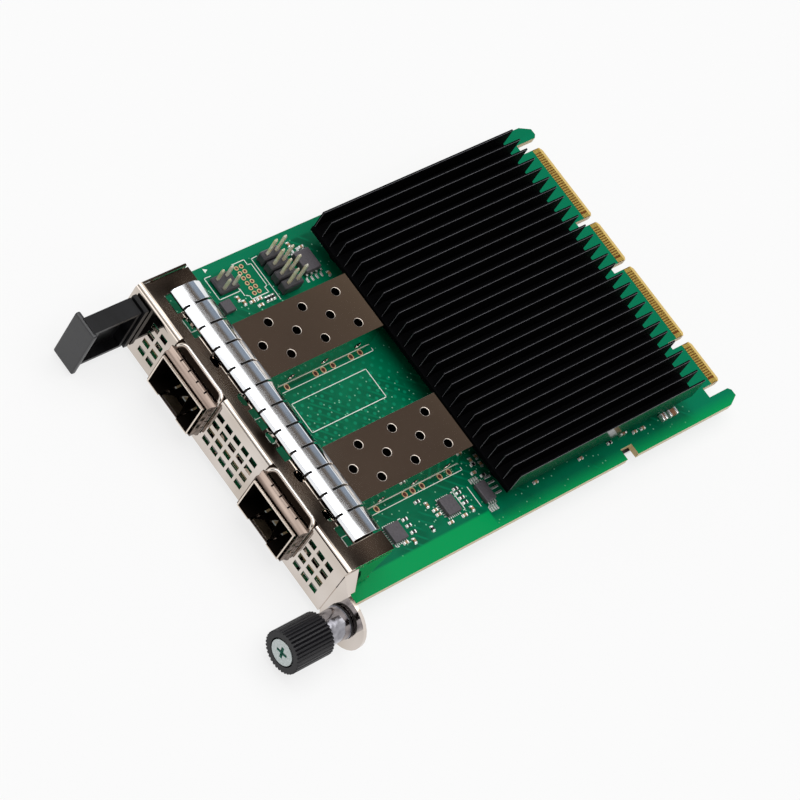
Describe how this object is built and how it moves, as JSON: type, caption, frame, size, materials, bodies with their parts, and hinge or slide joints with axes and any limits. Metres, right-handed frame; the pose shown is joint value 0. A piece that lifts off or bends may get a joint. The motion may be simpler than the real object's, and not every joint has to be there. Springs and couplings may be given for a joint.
{
  "type": "mezzanine network card",
  "caption": "Small form factor mezzanine network card: folded metal faceplate with module cages, finned heatsink, edge connector, pull tab and captive thumbscrew",
  "frame": {"origin": "centre of the underside of the insulating film, below the middle of the board", "axes": "+X along the faceplate from the pull tab to the thumbscrew, +Y from the faceplate to the edge connector, +Z out of the component side of the board"},
  "size_m": [0.0839, 0.1329, 0.0184],
  "materials": {
    "board_laminate": "green solder mask over glass laminate, satin gloss",
    "insulating_film": "thin black polyester film, satin",
    "faceplate_nickel": "bright nickel plate on folded sheet steel",
    "contact_spring": "bright tin plate on thin spring copper",
    "cage_nickel": "nickel plate on pressed copper alloy, smooth and slightly warm",
    "socket_plastic": "black glass-filled moulding",
    "heatsink_black": "black anodised aluminium, satin",
    "fixing_screw": "zinc plated steel",
    "controller_lid": "nickel plated copper lid, fine matt",
    "thermal_pad": "soft grey silicone pad",
    "pull_tab_plastic": "dark grey moulded plastic, fine grain",
    "barrel_chrome": "turned steel with bright chrome plate",
    "thumbscrew_steel": "zinc plated steel, pale",
    "knob_plastic": "dark grey moulded plastic",
    "header_plastic": "black moulded block with gold plated pins",
    "oscillator_can": "metal can, satin",
    "inductor_ferrite": "pressed iron powder, grey, matt",
    "capacitor_body": "dark epoxy block",
    "ceramic_body": "fired ceramic, brown, with tinned ends",
    "chip_epoxy": "dark moulded epoxy, fine matt"
  },
  "bodies": {
    "card": {"circuit_board": "board_laminate", "insulating_film": "insulating_film", "faceplate": "faceplate_nickel", "contact_finger_strip": "contact_spring", "module_cage_left": "cage_nickel", "module_cage_right": "cage_nickel", "cage_collar_left": "contact_spring", "cage_collar_right": "contact_spring", "module_socket_left": "socket_plastic", "module_socket_right": "socket_plastic", "heatsink": "heatsink_black", "heatsink_screw_front_left": "fixing_screw", "heatsink_screw_front_right": "fixing_screw", "heatsink_screw_rear_left": "fixing_screw", "heatsink_screw_rear_right": "fixing_screw", "faceplate_screw_left": "fixing_screw", "faceplate_screw_right": "fixing_screw", "controller_substrate": "board_laminate", "controller_lid": "controller_lid", "thermal_pad": "thermal_pad", "pull_tab": "pull_tab_plastic", "pull_tab_screw_lower": "fixing_screw", "pull_tab_screw_upper": "fixing_screw", "thumbscrew_barrel": "barrel_chrome", "thumbscrew_spring": "thumbscrew_steel", "debug_pin_header": "header_plastic", "jumper_header_1": "header_plastic", "jumper_header_2": "header_plastic", "jumper_header_3": "header_plastic", "jumper_header_4": "header_plastic", "flash_memory_chip": "chip_epoxy", "port_regulator_chip": "chip_epoxy", "port_power_switch_front": "chip_epoxy", "port_power_switch_rear": "chip_epoxy", "identity_memory_chip": "chip_epoxy", "clock_oscillator": "oscillator_can", "power_inductor_left": "inductor_ferrite", "power_inductor_middle": "inductor_ferrite", "power_inductor_right": "inductor_ferrite", "bulk_capacitor_left": "capacitor_body", "bulk_capacitor_right": "capacitor_body", "edge_capacitor": "ceramic_body"},
    "slider": {"thumbscrew_ring": "thumbscrew_steel"},
    "knob": {"thumbscrew_knob": "knob_plastic", "thumbscrew_screw": "thumbscrew_steel"}
  },
  "joints": [
    {"name": "thumbscrew_push", "type": "slide", "parent": "card", "child": "slider", "axis": [0, 1, 0], "range_m": [0, 0.0035], "stiffness_N_per_m": 400, "deforming": ["thumbscrew_spring"]},
    {"name": "thumbscrew_turn", "type": "hinge", "parent": "slider", "child": "knob", "pos_m": [0.0398, -0.0686, 0.00262], "axis": [0, 1, 0], "continuous": true}
  ]
}
